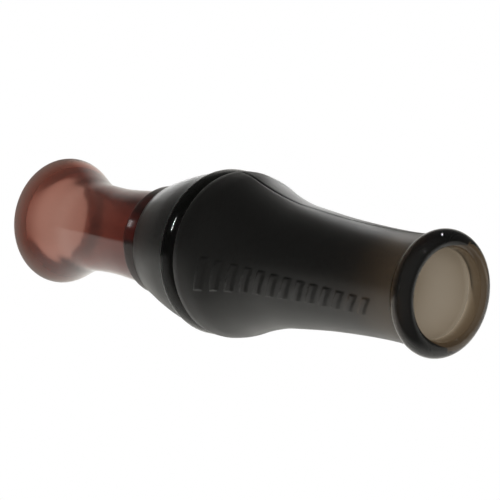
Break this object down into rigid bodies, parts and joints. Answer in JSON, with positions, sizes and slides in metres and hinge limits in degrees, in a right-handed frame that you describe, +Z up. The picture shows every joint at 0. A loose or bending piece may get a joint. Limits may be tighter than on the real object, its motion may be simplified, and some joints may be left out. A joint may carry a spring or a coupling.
{
  "type": "duck call",
  "caption": "Hand-held waterfowl call: a soft-covered barrel that pulls off a bell-mouthed insert, over a double-reed tone board.",
  "frame": {"origin": "centre of the bell's rim plane, on the call's axis; the call stands on its bell", "axes": "+Z up the axis from the bell to the mouthpiece lip, +X the way the tone board's table and reeds face, +Y to complete a right-handed frame"},
  "size_m": [0.038, 0.038, 0.1355],
  "materials": {
    "insert_red": "polished translucent red-brown",
    "smoke_gloss": "polished translucent smoke",
    "smoke_soft": "satin soft-touch smoke",
    "board_black": "moulded, finely matte",
    "reed_mylar": "clear matte film",
    "wedge_cork": "cut cork",
    "seal_rubber": "black nitrile"
  },
  "bodies": {
    "insert": {"insert": "insert_red"},
    "seals": {"o_ring_rear": "seal_rubber", "o_ring_front": "seal_rubber"},
    "barrel": {"barrel_tube": "smoke_gloss", "band_ring": "smoke_gloss", "grip_sleeve": "smoke_soft", "rear_cone": "smoke_soft"},
    "toneboard": {"toneboard": "board_black"},
    "wedge": {"reed_wedge": "wedge_cork"},
    "reed_lower": {"reed_lower": "reed_mylar"},
    "reed_upper": {"reed_upper": "reed_mylar"}
  },
  "joints": [
    {"name": "barrel_turn", "type": "hinge", "parent": "insert", "child": "seals", "pos_m": [0, 0, 0.0571], "axis": [0, 0, 1], "continuous": true},
    {"name": "barrel_pull", "type": "slide", "parent": "seals", "child": "barrel", "axis": [0, 0, 1], "range_m": [0, 0.06]},
    {"name": "toneboard_pull", "type": "slide", "parent": "insert", "child": "toneboard", "axis": [0, 0, 1], "range_m": [0, 0.024]},
    {"name": "wedge_pull", "type": "slide", "parent": "toneboard", "child": "wedge", "axis": [0, 0, 1], "range_m": [0, 0.012]},
    {"name": "reed_lower_bend", "type": "hinge", "parent": "toneboard", "child": "reed_lower", "pos_m": [0.00085, 0, 0.071], "axis": [0, -1, 0], "range_deg": [0, 1.5]},
    {"name": "reed_upper_bend", "type": "hinge", "parent": "reed_lower", "child": "reed_upper", "pos_m": [0.00145, 0, 0.071], "axis": [0, -1, 0], "range_deg": [0, 0.5]}
  ]
}
